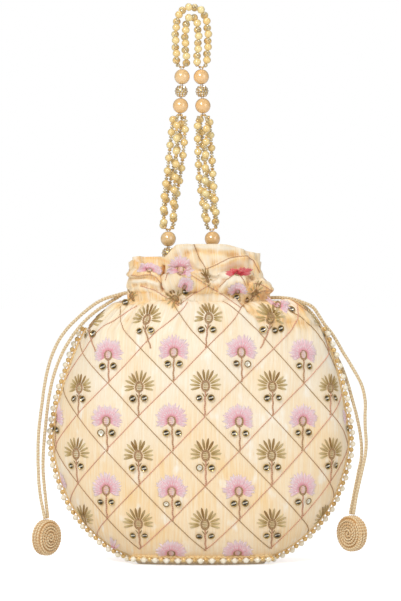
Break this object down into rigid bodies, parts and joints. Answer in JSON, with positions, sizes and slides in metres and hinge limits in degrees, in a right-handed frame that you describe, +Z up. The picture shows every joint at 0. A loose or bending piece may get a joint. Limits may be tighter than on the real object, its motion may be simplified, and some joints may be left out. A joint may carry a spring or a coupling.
{
  "type": "drawstring pouch",
  "caption": "Gathered silk potli pouch with a puffed frill, beaded edging, side drawstrings ending in wound cord discs, and a handle of bead strands.",
  "frame": {"origin": "on the floor, at the middle of the pouch's box without its drawstrings and discs", "axes": "+Z up through the neck to the top of the handle, +X to the right seen from the front, -Y towards the front with the tall frill fold"},
  "size_m": [0.2497, 0.1, 0.4194],
  "materials": {
    "embroidered_silk": "satin",
    "lining_satin": "satin",
    "edging_beads": "gloss",
    "gold_braid": "satin",
    "golden_pearl": "gloss",
    "peach_pearl": "gloss",
    "crystal": "polished",
    "thread": "matte"
  },
  "bodies": {
    "bag": {"front_panel": "embroidered_silk", "back_panel": "embroidered_silk", "lining": "lining_satin", "beaded_edging": "edging_beads", "knot_left": "thread", "knot_right": "thread", "drawstring_left": "gold_braid", "drawstring_right": "gold_braid", "end_disc_left": "gold_braid", "end_disc_right": "gold_braid"},
    "handle": {"bead_strand_1": "golden_pearl", "bead_strand_2": "golden_pearl", "bead_strand_3": "golden_pearl", "bead_strand_4": "golden_pearl", "big_pearl_mouth_left": "peach_pearl", "big_pearl_mouth_right": "peach_pearl", "big_pearl_lower_left": "peach_pearl", "big_pearl_lower_right": "peach_pearl", "big_pearl_upper_left": "peach_pearl", "big_pearl_upper_right": "peach_pearl", "crystal_ball_mouth_left": "crystal", "crystal_ball_mouth_right": "crystal", "crystal_ball_stack_left": "crystal", "crystal_ball_stack_right": "crystal"}
  },
  "joints": [
    {"name": "handle_swing", "type": "hinge", "parent": "bag", "child": "handle", "pos_m": [-0.02625, 0.02284, 0.2095], "axis": [0.9977, 0.0681, 0], "range_deg": [-15, 55]}
  ]
}
